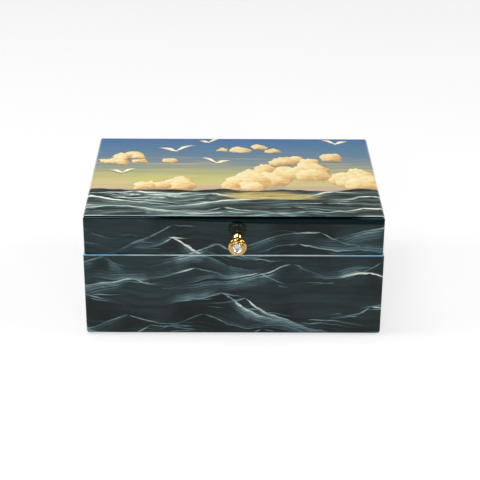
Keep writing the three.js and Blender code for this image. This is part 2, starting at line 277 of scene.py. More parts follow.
def wave_strokes(seed, rows, start, span, spacing, heave, reach, steep, breadth):
    """Each wave: a long stroke down one side of its crest, a short one down the other, thin ones that
    follow them and a bright flick on top."""
    draw = random.Random(seed)
    strokes = []
    for row, level in enumerate(rows):
        count = round(span / spacing)
        for i in range(count):
            u = start + (i + 0.5 * (row % 2) + draw.uniform(-0.42, 0.42)) * span / count
            v = level + draw.uniform(-heave, heave)
            load = draw.choice((1.3, 1.1, 0.9, 0.7, 0.55))
            lean = draw.choice((-1, 1))
            for way, share in ((lean, 1.0), (-lean, draw.uniform(0.3, 0.7))):
                run = draw.uniform(*reach) * share
                slope = draw.uniform(*steep)
                bend = draw.uniform(1.2, 2.6)
                width = breadth * draw.uniform(0.7, 1.1) * (0.6 + 0.5 * load)
                veil = draw.uniform(0.34, 0.56) * load if share == 1.0 or draw.random() < 0.35 else 0.0
                soft, side = draw.uniform(6.0, 15.0), draw.choice((-1, -1, 1))
                full = load * (0.6 + 0.4 * share)
                line = (u - way, v, way * run, -slope * run, bend, width, full)
                strokes.append(Stroke(*line, veil, soft, side))
                for below in (draw.uniform(1.2, 3.0), draw.uniform(3.0, 7.0)):
                    off = draw.uniform(0.05, 0.5) * run
                    thin = breadth * draw.uniform(0.5, 0.8)
                    length = run * draw.uniform(0.35, 0.8)
                    fall = -length * slope * draw.uniform(-0.3, 1.0)
                    foot = v - slope * off - below
                    faint = load * draw.uniform(0.35, 0.7)
                    strokes.append(Stroke(u + way * off, foot, way * length, fall, 1.4, thin, faint))
            if load > 1.0:
                run = draw.uniform(12.0, 26.0) * lean
                wide = breadth * draw.uniform(1.0, 1.5)
                strokes.append(Stroke(u - 4 * lean, v + 0.2, run, -0.14 * abs(run), 1.5, wide, 1.2))
    return strokes


def strokes_over(strokes, low_u, high_u, low_v, high_v, period=None):
    """The strokes that reach into a range, those from the next repeat among them."""
    found = []
    for shift in (-period, 0.0, period) if period else (0.0,):
        for s in strokes:
            ends_u = sorted((s.u + shift, s.u + shift + s.run))
            ends_v = sorted((s.v, s.v + s.drop))
            beside = ends_u[1] > low_u and ends_u[0] < high_u
            level = ends_v[1] > low_v - SPREAD and ends_v[0] < high_v + SPREAD
            if beside and level:
                found.append(s._replace(u=s.u + shift))
    return found


def stroke_brush(washed):
    """One stroke: drawn from its crest and thinning out, with a wash along one side if it is washed."""
    inputs = ["under", "u", "v", "start", "per_run", "foot", "drop", "bend", "per_width", "load", "tip"]
    if washed:
        inputs += ["veil", "fade", "edge"]
    brush = Brush("washed_stroke" if washed else "plain_stroke", inputs, ["load"])
    under, u, v, start, per_run, foot, drop, bend, per_width, load, tip = brush.given[:11]
    along = (u - start) * per_run
    left = 1 - along
    rise = left**bend
    off = brush.line(rise, drop, v - foot)
    taper = brush.smallest(brush.smallest(left * 1.4, along * tip), 1.0)
    core = brush.largest(brush.smallest(taper + 0.1 - abs(off) * per_width, 0.6), 0.0)
    over = brush.largest(under, core * brush.line(rise, 1.2, 0.5) * load)
    if washed:
        veil, fade, edge = brush.given[11:]
        wash = brush.largest(brush.smallest(1 - off * fade, 1 + off * edge), 0.0)
        hairs = {"W": brush.line(off, 0.8, start), "Scale": 1.0, "Detail": 2.0, "Roughness": 0.7}
        hairs = brush.node("ShaderNodeTexNoise", {"noise_dimensions": "1D"}, hairs)
        body = brush.smallest(brush.smallest(left * 1.8, along * 5), 1.0)
        over = brush.largest(over, wash * body * veil * brush.ramp(hairs, 0.3, 0.62, 0.25, 1.2))
    brush.gives(over)
    return brush


PLAIN_STROKE = stroke_brush(False)
WASHED_STROKE = stroke_brush(True)


def paint_strokes(finish, u, v, strokes):
    """The load of paint that strokes leave, each laid over the ones before."""
    load = 0.0
    for stroke in strokes:
        touch = dict(under=load, u=u, v=v, start=stroke.u, per_run=1 / stroke.run)
        touch.update(foot=stroke.v + stroke.drop, drop=stroke.drop, bend=stroke.bend)
        touch.update(per_width=1 / stroke.width, load=stroke.load, tip=abs(stroke.run) / TIP)
        if stroke.veil:
            touch.update(veil=stroke.veil, fade=stroke.side / stroke.soft, edge=stroke.side / 0.8)
            load = WASHED_STROKE.touch(finish, **touch)
        else:
            load = PLAIN_STROKE.touch(finish, **touch)
    return load


SEA_ROWS = (6, 20, 34, 48, 62, 76, 90)
SEA_STROKES = wave_strokes(
    seed=11,
    rows=SEA_ROWS,
    start=-LONG,
    span=PATTERN,
    spacing=70,
    heave=6.0,
    reach=(60, 125),
    steep=(0.08, 0.36),
    breadth=0.8,
)
SEA_TONES = [
    (0.0, (8, 19, 20)),
    (0.14, (40, 58, 62)),
    (0.36, (86, 114, 120)),
    (0.62, (146, 170, 170)),
    (0.86, (212, 222, 208)),
    (1.0, (244, 242, 220)),
]
RIM_TONE = (10, 22, 24)  # the dark edges that meet at the seam
LACQUER_IOR = 1.3
LACQUER_ROUGHNESS = (0.05, 0.11)


def sea_lacquer(name, long_side, lid):
    """Dark sea with brushed wave crests that run on round the corners, under clear gloss lacquer."""
    finish = Finish(name)
    x, y, z = finish.place()
    if long_side:
        u = -(x * finish.math("SIGN", y))
        ends = (-LONG, LONG)
    else:
        u = y * finish.math("SIGN", x) + (LONG + SHORT)
        ends = (LONG, LONG + 2 * SHORT)
    heights = (RIM_Z / MM, TOP_Z / MM) if lid else (FOOT_Z / MM, RIM_Z / MM)
    spot = finish.point(x, y, z)
    sway = finish.noise(spot, 0.024, 1.5)
    wobble = finish.noise(spot, 0.13, 1.0)
    v = z + (sway - 0.5) * 14 + (wobble - 0.5) * 1.8
    swayed = u + (wobble - 0.5) * 3
    load = paint_strokes(finish, swayed, v, strokes_over(SEA_STROKES, *ends, *heights, PATTERN))
    bristle = finish.noise(finish.point(u * 0.06, v * 1.1, 0.0), 1.0, 3.0, 0.6)
    patches = finish.noise(spot, 0.035, 2.0)
    load = load * finish.ramp(bristle, 0.32, 0.6, 0.66, 1.08)
    load = load * finish.ramp(patches, 0.36, 0.58, 0.5, 1.1)
    drag = finish.noise(finish.point(u * 0.012, v * 0.26, 3.0), 1.0, 3.0, 0.55)
    wash = finish.ramp(finish.noise(spot, 0.02, 2.0), 0.34, 0.66)
    wash = wash * finish.ramp(drag, 0.3, 0.7, 0.4, 1.0) * 0.14
    load = finish.largest(load, wash)
    colour = finish.colours(load, SEA_TONES)
    colour = finish.tint(colour, finish.mix(srgb(200, 202, 198), srgb(255, 255, 255), drag), 0.5)
    outer = finish.largest(abs(x) - LONG, abs(y) - SHORT)
    smear = finish.noise(spot, 0.05, 3.0)
    roughness = finish.ramp(smear, 0.3, 0.7, *LACQUER_ROUGHNESS)
    band = 0.0
    if lid:
        # a painted dark reflection: a dark band under the top edge stands in for the dim room mirrored
        # in the rounded edge. It mirrors little, and is thinner at one end of the pattern
        thin_end, full_end = (ends[0] + 30, ends[0] + 150) if long_side else (ends[1], ends[1] - 40)
        near = finish.ramp(u, thin_end, full_end)
        brink = z + (wobble - 0.5) * 2.0 + near * 4.0
        band = finish.ramp(brink, TOP_Z / MM - 2.8, TOP_Z / MM - 2.0)
        band = band * finish.ramp(load, 0.3, 0.7, 1.0, 0.2)
        colour = finish.mix(colour, srgb(10, 28, 31), band)
        rim = finish.ramp(z, LID_RIM_Z / MM + 0.5, LID_RIM_Z / MM + 0.2)
        colour = finish.mix(colour, srgb(*RIM_TONE), rim)
        inside = finish.math("LESS_THAN", outer, -5.0)
        colour = finish.mix(colour, srgb(58, 16, 20), inside)
    else:
        rim = finish.ramp(z, RIM_Z / MM - 0.5, RIM_Z / MM - 0.2)
        colour = finish.mix(colour, srgb(*RIM_TONE), rim)
        # pale paint along the ledge that the smaller lid leaves, partly a painted highlight on its
        # upturned edge, bluer towards the ends
        ledge = finish.ramp(z, RIM_Z / MM - 0.6, RIM_Z / MM - 0.25) * finish.ramp(outer, -1.7, -1.2)
        tips = finish.ramp(abs(u - (ends[0] + ends[1]) / 2) + (sway - 0.5) * 60, 62.0, 104.0)
        pale = finish.mix(srgb(188, 214, 216), srgb(122, 192, 238), tips)
        colour = finish.mix(colour, pale, ledge * finish.ramp(patches, 0.3, 0.5, 0.7, 1.0))
    return finish.surface(
        Base_Color=colour,
        Roughness=roughness,
        # the painted dark reflection band is made metallic, so that it mirrors little
        Metallic=band * 0.85,
        IOR=LACQUER_IOR,
        Normal=finish.bump(bristle, 0.05 * MM, 0.2),
    )


CloudPuff = namedtuple("CloudPuff", "x q wide high")
Gull = namedtuple("Gull", "x q wing tilt")


def cloud_banks(seed):
    """Puffs heaped into banks, upper ones first."""
    draw = random.Random(seed)
    # the middle, foot, half width, height and number of puffs of each bank
    banks = [(-76, 96, 30, 26, 12), (56, 54, 52, 66, 34), (-26, 50, 44, 20, 14), (12, 120, 24, 18, 8)]
    puffs = []
    for middle, foot, half, height, count in banks:
        bank = []
        for i in range(count):
            a = draw.uniform(-1, 1)
            top = height * (1 - abs(a) ** 2.4) * draw.uniform(0.75, 1.0)
            rise = draw.uniform(0.12, 1.0)
            size = half * draw.uniform(0.17, 0.3) * (1.25 - 0.6 * rise)
            high = size * draw.uniform(0.9, 1.3)
            bank.append(CloudPuff(middle + a * half, foot + top * rise, size, high))
        puffs += sorted(bank, key=lambda puff: -puff.q)
    return puffs


def cloud_brush():
    """One puff of cloud, lit from the upper left and fading at its foot. It covers those behind it."""
    inputs = ["tone", "cover", "across", "up", "x", "q", "per_wide", "per_high"]
    brush = Brush("cloud_puff", inputs, ["tone", "cover"])
    tone, cover, across, up, x, q, per_wide, per_high = brush.given
    a = (across - x) * per_wide
    b = (up - q) * per_high
    mask = brush.ramp(brush.line(a, a, b * b), 1.0, 0.8) * brush.ramp(b, -0.9, -0.1)
    lit = brush.line(b, 0.3, brush.line(a, -0.2, 0.58))
    brush.gives(brush.blend(tone, lit, mask), brush.largest(cover, mask))
    return brush


CLOUD_PUFF = cloud_brush()


def painted_lid():
    """Evening sky with heaped clouds and gulls over a dark sea, under clear gloss lacquer."""
    finish = Finish("painted_lid")
    x, y = finish.place()[:2]
    q = y + LID_HALF_DEPTH / MM
    depth = 2 * LID_HALF_DEPTH / MM
    spot = finish.point(x, q, 0.0)
    streak = finish.noise(finish.point(x * 0.012, q * 0.3, 1.0), 1.0, 4.0, 0.6)
    fine = finish.noise(finish.point(x * 0.03, q * 1.2, 4.0), 1.0, 3.0, 0.6)
    swell = finish.noise(finish.point(x * 0.024, 0.0, 7.0), 1.0, 2.0)
    horizon = finish.line(swell, 24.0, 35.0)
    height = (q - 46) / (depth - 46) + (streak - 0.5) * 0.34 + (fine - 0.5) * 0.1
    sky = finish.colours(height, [
        (0.0, (196, 172, 150)),
        (0.1, (210, 194, 140)),
        (0.21, (200, 198, 122)),
        (0.33, (172, 174, 126)),
        (0.47, (136, 150, 146)),
        (0.62, (104, 132, 150)),
        (0.8, (86, 124, 156)),
        (1.0, (72, 112, 160)),
    ])
    blush = finish.noise(finish.point(x * 0.016, q * 0.2, 9.0), 1.0, 3.0, 0.6)
    blush = finish.ramp(blush, 0.52, 0.66) * finish.ramp(height, 0.75, 0.35)
    sky = finish.mix(sky, srgb(206, 172, 148), blush * 0.7)
    ragged = finish.noise(spot, 0.1, 3.0, 0.6)
    across = x + (ragged - 0.5) * 10
    up = q + (finish.noise(finish.point(x, q, 30.0), 0.13, 3.0, 0.65) - 0.5) * 12
    tone, cover = 0.0, 0.0
    for puff in cloud_banks(seed=4):
        touch = dict(tone=tone, cover=cover, across=across, up=up, x=puff.x, q=puff.q)
        tone = CLOUD_PUFF.touch(finish, **touch, per_wide=1 / puff.wide, per_high=1 / puff.high)
        cover = tone.beside("cover")
    daub = finish.noise(finish.point(x * 0.16, q * 0.2, 12.0), 1.0, 3.0, 0.65)
    tone = tone + (daub - 0.5) * 0.7 + (fine - 0.5) * 0.3
    cloud = finish.colours(tone, [
        (0.0, (112, 92, 72)),
        (0.22, (172, 130, 90)),
        (0.45, (222, 178, 116)),
        (0.68, (242, 216, 152)),
        (1.0, (252, 240, 200)),
    ])
    colour = finish.mix(sky, cloud, cover)
    # sea in front of the horizon
    wide = LID_HALF_WIDTH / MM
    sway = finish.noise(spot, 0.02, 2.0)
    wobble = finish.noise(spot, 0.1, 1.0)
    v = q + (sway - 0.5) * 14 + (wobble - 0.5) * 2.6
    strokes = wave_strokes(
        seed=5,
        rows=(9, 17, 25, 33, 42),
        start=-wide,
        span=2 * wide,
        spacing=62,
        heave=3.0,
        reach=(60, 130),
        steep=(0.05, 0.2),
        breadth=1.1,
    )
    swayed = x + (wobble - 0.5) * 4
    load = paint_strokes(finish, swayed, v, strokes_over(strokes, -wide, wide, 0, 50))
    bristle = finish.noise(finish.point(x * 0.05, v * 0.6, 0.0), 1.0, 3.0, 0.6)
    load = load * finish.ramp(bristle, 0.32, 0.6, 0.6, 1.1)
    wash = finish.noise(finish.point(x * 0.02, v * 0.2, 5.0), 1.0, 3.0, 0.6)
    wash = finish.ramp(wash, 0.38, 0.64) * 0.28
    # foam along a breaking crest
    a, b = (x + 64) / 40, (v - 37) / 8
    spray = finish.ramp(finish.noise(finish.point(x * 0.05, v * 0.4, 8.0), 1.0, 4.0, 0.7), 0.4, 0.62)
    spray = spray * finish.ramp(a * a + b * b, 1.0, 0.1)
    load = finish.largest(load, spray)
    sea = finish.colours(finish.largest(load, wash), [
        (0.0, (28, 33, 30)),
        (0.18, (56, 68, 66)),
        (0.4, (110, 134, 132)),
        (0.7, (184, 204, 194)),
        (1.0, (250, 248, 228)),
    ])
    # low sun on the back of a swell
    a, b = (x - 26) / 50, (v - 36) / 10
    dry = finish.noise(finish.point(x * 0.018, v * 0.8, 14.0), 1.0, 3.0, 0.6)
    gleam = finish.ramp(a * a + b * b, 1.0, 0.1) + (dry - 0.5) * 2.4
    gold = finish.mix(srgb(150, 122, 66), srgb(216, 196, 122), finish.ramp(bristle, 0.34, 0.58))
    sea = finish.mix(sea, gold, finish.ramp(gleam, 0.3, 0.8, 0.0, 0.85))
    water = finish.ramp(q - horizon, -0.8, 0.8, 1.0, 0.0)
    colour = finish.mix(colour, sea, water)
    # a painted highlight along the front edge, in place of the gloss a lamp leaves on its rounding,
    # stronger towards the ends
    painted_edge_highlight = finish.ramp(-x + (sway - 0.5) * 80, -60.0, 60.0, 0.08, 0.42)
    painted_edge_highlight = finish.largest(painted_edge_highlight, finish.ramp(abs(x), 84.0, 100.0, 0.0, 0.85))
    painted_edge_highlight = painted_edge_highlight * finish.ramp(q, 2.2, 1.5)
    colour = finish.mix(colour, srgb(206, 216, 218), painted_edge_highlight)
    # gulls: two wings and a body each
    gulls = [
        Gull(-46, 122, 17, 0.15), Gull(-14, 98, 14, -0.2), Gull(-86, 78, 12, 0.1),
        Gull(-20, 141, 10, 0.2), Gull(82, 138, 13, -0.1),
    ]
    wings = []
    for gull in gulls:
        for way in (-1, 1):
            lift = gull.wing * (0.62 + way * gull.tilt)
            wings.append(Stroke(gull.x - way, gull.q, way * gull.wing, lift, 2.4, 3.0, 1.4))
    flock = paint_strokes(finish, x, q, wings)
    under = paint_strokes(finish, x, q + 1.6, wings)
    colour = finish.mix(colour, srgb(122, 104, 84), finish.ramp(under, 0.05, 0.4))
    colour = finish.mix(colour, srgb(250, 240, 214), finish.ramp(flock, 0.05, 0.35))
    smear = finish.noise(spot, 0.05, 3.0)
    return finish.surface(
        Base_Color=colour,
        Roughness=finish.ramp(smear, 0.3, 0.7, *LACQUER_ROUGHNESS),
        IOR=LACQUER_IOR,
        Normal=finish.bump(bristle + daub, 0.05 * MM, 0.2),
    )


def velvet():
    finish = Finish("velvet")
    x, y, z = finish.place()
    spot = finish.point(x, y, z)
    pile = finish.noise(spot, 2.6, 2.0, 0.7)
    nap = finish.noise(finish.point(x * 0.04, y * 0.015, z * 0.04), 1.0, 3.0)
    colour = finish.mix(srgb(110, 16, 29), srgb(134, 23, 39), finish.ramp(nap, 0.3, 0.7))
    colour = finish.tint(colour, finish.mix(srgb(150, 150, 150), srgb(255, 255, 255), pile), 0.7)
    return finish.surface(
        Base_Color=colour,
        Roughness=0.95,
        Sheen_Weight=0.8,
        Sheen_Roughness=0.35,
        Sheen_Tint=srgb(220, 120, 130),
        Normal=finish.bump(pile, 0.25 * MM, 0.5),
    )


def baize():
    finish = Finish("baize")
    x, y, z = finish.place()
    spot = finish.point(x, y, z)
    fibre = finish.noise(spot, 1.8, 3.0, 0.7)
    blotch = finish.noise(spot, 0.09, 2.0)
    colour = finish.mix(srgb(24, 34, 30), srgb(46, 62, 54), finish.ramp(fibre, 0.3, 0.7))
    colour = finish.tint(colour, finish.mix(srgb(180, 180, 180), srgb(255, 255, 255), blotch), 0.7)
    return finish.surface(
        Base_Color=colour,
        Roughness=1.0,
        Sheen_Weight=0.4,
        Normal=finish.bump(fibre, 0.3 * MM, 0.5),
    )


def bare_wood():
    finish = Finish("bare_wood")
    x, y, z = finish.place()
    grain = finish.noise(finish.point(x * 0.02, y * 0.5, z * 0.5), 1.0, 5.0, 0.65)
    colour = finish.mix(srgb(120, 88, 56), srgb(178, 140, 96), finish.ramp(grain, 0.3, 0.7))
    return finish.surface(Base_Color=colour, Roughness=finish.ramp(grain, 0.3, 0.7, 0.6, 0.8))


def polished_brass():
    finish = Finish("polished_brass")
    x, y, z = finish.place()
    spot = finish.point(x, y, z)
    tarnish = finish.noise(spot, 0.35, 4.0, 0.6)
    rub = finish.noise(spot, 1.6, 3.0, 0.6)
    colour = finish.mix(srgb(180, 136, 40), srgb(206, 163, 60), finish.ramp(tarnish, 0.3, 0.65))
    return finish.surface(
        Base_Color=colour,
        Metallic=1.0,
        Roughness=finish.ramp(rub, 0.3, 0.7, 0.08, 0.17),
        Coat_Weight=1.0,
        Coat_IOR=1.8,
        Coat_Roughness=0.04,
        Normal=finish.bump(rub, 0.02 * MM, 0.15),
    )


def zinc_steel():
    finish = Finish("zinc_steel")
    x, y, z = finish.place()
    bloom = finish.noise(finish.point(x, y, z), 0.8, 4.0, 0.6)
    colour = finish.mix(srgb(150, 150, 146), srgb(208, 208, 202), bloom)
    return finish.surface(
        Base_Color=colour, Metallic=1.0, Roughness=finish.ramp(bloom, 0.3, 0.7, 0.25, 0.42)
    )


def cut_glass():
    finish = Finish("cut_glass")
    x, y, z = finish.place()
    clear = finish.noise(finish.point(x, y, z), 0.6, 2.0)
    colour = finish.mix(srgb(248, 251, 255), srgb(255, 255, 255), clear)
    return finish.surface(Base_Color=colour, Roughness=0.0, IOR=1.6, Transmission_Weight=1.0)


def mirror_foil():
    finish = Finish("mirror_foil")
    x, y, z = finish.place()
    cloud = finish.noise(finish.point(x, y, z), 0.9, 3.0)
    colour = finish.mix(srgb(240, 244, 252), srgb(255, 255, 255), cloud)
    return finish.surface(
        Base_Color=colour, Metallic=0.7, Roughness=finish.ramp(cloud, 0.3, 0.7, 0.1, 0.2)
    )


# Meshes

SHARP_ANGLE = 35  # faces that meet at more degrees than this keep a sharp edge


def mesh_object(name, verts, faces, sharp_angle=SHARP_ANGLE):
    mesh = bpy.data.meshes.new(name)
    mesh.from_pydata([tuple(v) for v in verts], [], faces)
    shell = bmesh.new()
    shell.from_mesh(mesh)
    bmesh.ops.remove_doubles(shell, verts=shell.verts, dist=1e-7)
    bmesh.ops.recalc_face_normals(shell, faces=shell.faces)
    shell.to_mesh(mesh)
    shell.free()
    obj = bpy.data.objects.new(name, mesh)
    bpy.context.scene.collection.objects.link(obj)
    soften(obj, sharp_angle)
    return obj


def soften(obj, sharp_angle=SHARP_ANGLE):
    obj.data.shade_smooth()
    obj.data.set_sharp_from_angle(angle=math.radians(sharp_angle))


def fit(obj, body, nodes, slot, *finishes):
    """Gives a piece its finishes and puts it in the place of its solids."""
    for finish in finishes:
        obj.data.materials.append(finish)
    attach(obj, body)
    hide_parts(*nodes)


def carve(obj, *tools):
    """Cuts tools out of a piece and removes them."""
    for tool in tools:
        cut = obj.modifiers.new("cut", "BOOLEAN")
        cut.operation = "DIFFERENCE"
        cut.solver = "EXACT"
        cut.object = tool
    view = bpy.context.evaluated_depsgraph_get()
    carved = bpy.data.meshes.new_from_object(obj.evaluated_get(view))
    obj.modifiers.clear()
    obj.data = carved
    for tool in tools:
        bpy.data.objects.remove(tool)
    soften(obj)


def arc_points(centre, radius, start, end, steps):
    """Points of an arc in a section, angles in degrees."""
    points = []
    for i in range(steps + 1):
        angle = math.radians(start + (end - start) * i / steps)
        points.append((centre[0] + radius * math.cos(angle), centre[1] + radius * math.sin(angle)))
    return points


def lofted(name, rings, sharp_angle=SHARP_ANGLE):
    """A closed piece through rings of equal count, capped at both ends."""
    count = len(rings[0])
    verts = [v for ring in rings for v in ring]
    faces = []
    for r in range(len(rings) - 1):
        low, high = r * count, (r + 1) * count
        for k in range(count):
            after = (k + 1) % count
            faces.append((low + k, low + after, high + after, high + k))
    faces.append(tuple(range(count)))
    faces.append(tuple((len(rings) - 1) * count + k for k in range(count)))
    return mesh_object(name, verts, faces, sharp_angle)


# Each side's turn from the front, and whether it is a short one
SIDES = {
    "front": (0.0, False),
    "right": (90.0, True),
    "back": (180.0, False),
    "left": (-90.0, True),
}
CORNER_STEPS = 5
WALL_STATIONS = 14


def mitred_length(name, side, half_x, half_y, section):
    """One side of a mitred frame: a closed section of (inset, z) points run between its two mitres."""
    turn, short = SIDES[side]
    span, offset = (half_y, half_x) if short else (half_x, half_y)
    turned = Matrix.Rotation(math.radians(turn), 3, "Z")
    rings = []
    for i in range(-CORNER_STEPS, CORNER_STEPS + WALL_STATIONS + 1):
        if i <= 0:
            end, share = -1, -i / CORNER_STEPS
        elif i >= WALL_STATIONS:
            end, share = 1, (i - WALL_STATIONS) / CORNER_STEPS
        else:
            end, share = 2 * i / WALL_STATIONS - 1, 0.0
        angle = math.radians(45 * share)
        ring = []
        for inset, z in section:
            round_radius = UPRIGHT_RADIUS - inset
            if round_radius > 0:
                x = span - UPRIGHT_RADIUS + round_radius * math.sin(angle)
                y = UPRIGHT_RADIUS - offset - round_radius * math.cos(angle)
            else:
                x = span - inset - (1 - share) * 0.3 * UPRIGHT_RADIUS
                y = inset - offset
            ring.append(turned @ Vector((end * x, y, z)))
        rings.append(ring)
    return lofted(name, rings)


def prism_x(name, section, half_length, x=0.0):
    """A tool: a (y, z) section run along X."""
    count = len(section)
    verts = [(x + way * half_length, y, z) for way in (-1, 1) for y, z in section]
    faces = [tuple(range(count)), tuple(range(count, 2 * count))]
    for k in range(count):
        after = (k + 1) % count
        faces.append((k, after, count + after, count + k))
    return mesh_object(name, verts, faces)


HINGE_NAMES = ("left", "right")
HINGE_X = {side: sum(p.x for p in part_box(f"hinge_{side}_pin")) / 2 for side in HINGE_NAMES}
HINGE_HALF = (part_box("hinge_left_pin")[1].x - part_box("hinge_left_pin")[0].x) / 2
LEAF_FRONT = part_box("hinge_left_case_leaf")[0].y
BARREL_RADIUS = 1.8 * MM
LEAF_THICKNESS = 1.1 * MM
FIT_GAP = 0.25 * MM


def back_bevel_tool(up):
    """What is bevelled off the back of the case (up -1) or the lid (up 1)."""
    edge = SEAM_Z + up * SEAM_HALF_GAP
    reach = HINGE_INSET + 1 * MM
    section = [
        (HINGE_Y, edge),
        (HINGE_Y, edge - up * MM),
        (HINGE_Y + reach, edge - up * MM),
        (HINGE_Y + reach, edge + up * reach * math.tan(OPEN_BEVEL)),
    ]
    return prism_x("bevel_tool", section, HALF_WIDTH + 5 * MM)


def hinge_tools(up):
    """The mortises of the two leaves, and the grooves of their barrels."""
    tools = []
    depth = SEAM_Z + up * (SEAM_HALF_GAP + LEAF_THICKNESS + FIT_GAP)
    past = SEAM_Z - up * MM
    front = LEAF_FRONT - FIT_GAP
    half = HINGE_HALF + FIT_GAP
    for side in HINGE_NAMES:
        mortise = [(front, past), (HINGE_Y, past), (HINGE_Y, depth), (front, depth)]
        tools.append(prism_x("mortise_tool", mortise, half, HINGE_X[side]))
        groove = arc_points((HINGE_Y, SEAM_Z), BARREL_RADIUS + FIT_GAP, 0, 345, 23)
        tools.append(prism_x("groove_tool", groove, half, HINGE_X[side]))
    return tools


def case_walls(finishes):
    section = arc_points((FOOT_RADIUS, FOOT_Z + FOOT_RADIUS), FOOT_RADIUS, 270, 180, 7)
    section += arc_points((RIM_RADIUS, RIM_Z - RIM_RADIUS), RIM_RADIUS, 180, 90, 5)
    section += [(WALL, RIM_Z), (WALL, FLOOR_TOP_Z), (FLOOR_REBATE, FLOOR_TOP_Z), (FLOOR_REBATE, FOOT_Z)]
    for side in SIDES:
        wall = mitred_length(f"{side}_wall_lacquered", side, HALF_WIDTH, HALF_DEPTH, section)
        if side != "front":
            carve(wall, back_bevel_tool(-1), *(hinge_tools(-1) if side == "back" else []))
        fit(wall, "case", [f"case_{side}_wall"], "sea_lacquer", finishes[SIDES[side][1]])


def lid_rails(finishes):
    section = [(RAIL, LID_RIM_Z)]
    section += arc_points((RIM_RADIUS, LID_RIM_Z + RIM_RADIUS), RIM_RADIUS, 270, 180, 5)
    section += [(0.0, PANEL_Z), (RAIL, PANEL_Z)]
    for side in SIDES:
        rail = mitred_length(f"{side}_rail_lacquered", side, LID_HALF_WIDTH, LID_HALF_DEPTH, section)
        if side != "front":
            carve(rail, back_bevel_tool(1), *(hinge_tools(1) if side == "back" else []))
        fit(rail, "lid", [f"lid_{side}_rail"], "sea_lacquer", finishes[SIDES[side][1]])


def rounded_ring(half_x, half_y, radius, z, steps=5):
    ring = []
    for quarter, (sx, sy) in enumerate(((1, 1), (-1, 1), (-1, -1), (1, -1))):
        centre = (sx * (half_x - radius), sy * (half_y - radius))
        corner = arc_points(centre, radius, 90 * quarter, 90 * quarter + 90, steps)
        ring += [(x, y, z) for x, y in corner]
    return ring


def lid_panel(painting, sides):
    rings = [rounded_ring(LID_HALF_WIDTH, LID_HALF_DEPTH, UPRIGHT_RADIUS, PANEL_Z)]
    centre = (LID_EDGE_RADIUS, TOP_Z - LID_EDGE_RADIUS)
    for inset, z in arc_points(centre, LID_EDGE_RADIUS, 180, 90, 10):
        radius = max(UPRIGHT_RADIUS - inset, 0.25 * MM)
        rings.append(rounded_ring(LID_HALF_WIDTH - inset, LID_HALF_DEPTH - inset, radius, z))
    panel = lofted("lid_panel_painted", rings)
    fit(panel, "lid", ["lid_top_panel"], "sky_lacquer", painting, *sides)
    # the painting goes on over the edges to faces this level, and less far over the front edge
    level_at_front, level_elsewhere = 0.8, 0.35
    for face in panel.data.polygons:
        x, y, z = face.normal
        if z < (level_at_front if -y > abs(x) else level_elsewhere):
            face.material_index = 1 if abs(y) > abs(x) else 2


def lining(finish):
    low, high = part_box("lining_front_board")
    back = HALF_DEPTH + low.y
    thick = high.y - low.y
    fold = 1.1 * MM
    section = [(back, low.z)]
    section += arc_points((back + fold, high.z - fold), fold, 180, 90, 5)
    section += arc_points((back + thick - fold, high.z - fold), fold, 90, 0, 5)
    section += [(back + thick, low.z)]
    for side in SIDES:
        board = mitred_length(f"{side}_lining_velvet", side, HALF_WIDTH, HALF_DEPTH, section)
        fit(board, "case", [f"lining_{side}_board"], "velvet", finish)


def padding(name, node, body, finish, up):
    """A velvet pad: flat where it is glued, its face crowned and drawn in at the edges."""
    low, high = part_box(node)
    half_x, half_y = (high.x - low.x) / 2, (high.y - low.y) / 2
    glued, face = (low.z, high.z) if up else (high.z, low.z)
    thick = abs(face - glued)
    sign = 1 if up else -1
    corner = 2 * MM
    rings = [rounded_ring(half_x, half_y, corner, glued)]
    fold, edge = 0.25 * thick, 0.62 * thick
    roll, roll_steps = 2.4 * MM, 8
    for step in range(roll_steps + 1):
        angle = math.radians(90 * step / roll_steps)
        inset = roll * (1 - math.cos(angle))
        z = glued + sign * (fold + (edge - fold) * math.sin(angle))
        rings.append(rounded_ring(half_x - inset, half_y - inset, corner, z))
    for share in (0.1, 0.22, 0.36, 0.52, 0.7, 0.88):
        inset = roll + (half_y - roll) * share * 0.9
        crown = edge + (thick - edge) * math.sin(math.pi / 2 * min(1.0, share * 1.5))
        radius = corner + 6 * MM * share
        rings.append(rounded_ring(half_x - inset, half_y - inset, radius, glued + sign * crown))
    pad = lofted(name, rings, sharp_angle=60)
    fit(pad, body, [node], "velvet", finish)


def baize_sheet(finish):
    low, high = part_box("baize_underside")
    half_x, half_y = high.x, high.y
    edge, corner = 0.2 * MM, 1.5 * MM
    rings = [
        rounded_ring(half_x - edge, half_y - edge, corner, low.z),
        rounded_ring(half_x, half_y, corner, low.z + 0.25 * MM),
        rounded_ring(half_x, half_y, corner, high.z - edge),
        rounded_ring(half_x - edge, half_y - edge, corner, high.z),
    ]
    sheet = lofted("baize_cloth", rings)
    fit(sheet, "case", ["baize_underside"], "baize", finish)


# Knob

KNOB_LOW, KNOB_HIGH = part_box("knob_body")
KNOB_X = (KNOB_LOW.x + KNOB_HIGH.x) / 2
KNOB_Z = (KNOB_LOW.z + KNOB_HIGH.z) / 2
LID_FACE_Y = -LID_HALF_DEPTH
AXIS = 0.01  # how near to its axis a turned profile ends, in millimetres


def curve(start, control, end, steps):
    """Points of a quadratic curve, without its start."""
    points = []
    for i in range(1, steps + 1):
        t = i / steps
        a, b, c = (1 - t) ** 2, 2 * t * (1 - t), t * t
        points.append(tuple(a * p + b * q + c * r for p, q, r in zip(start, control, end)))
    return points


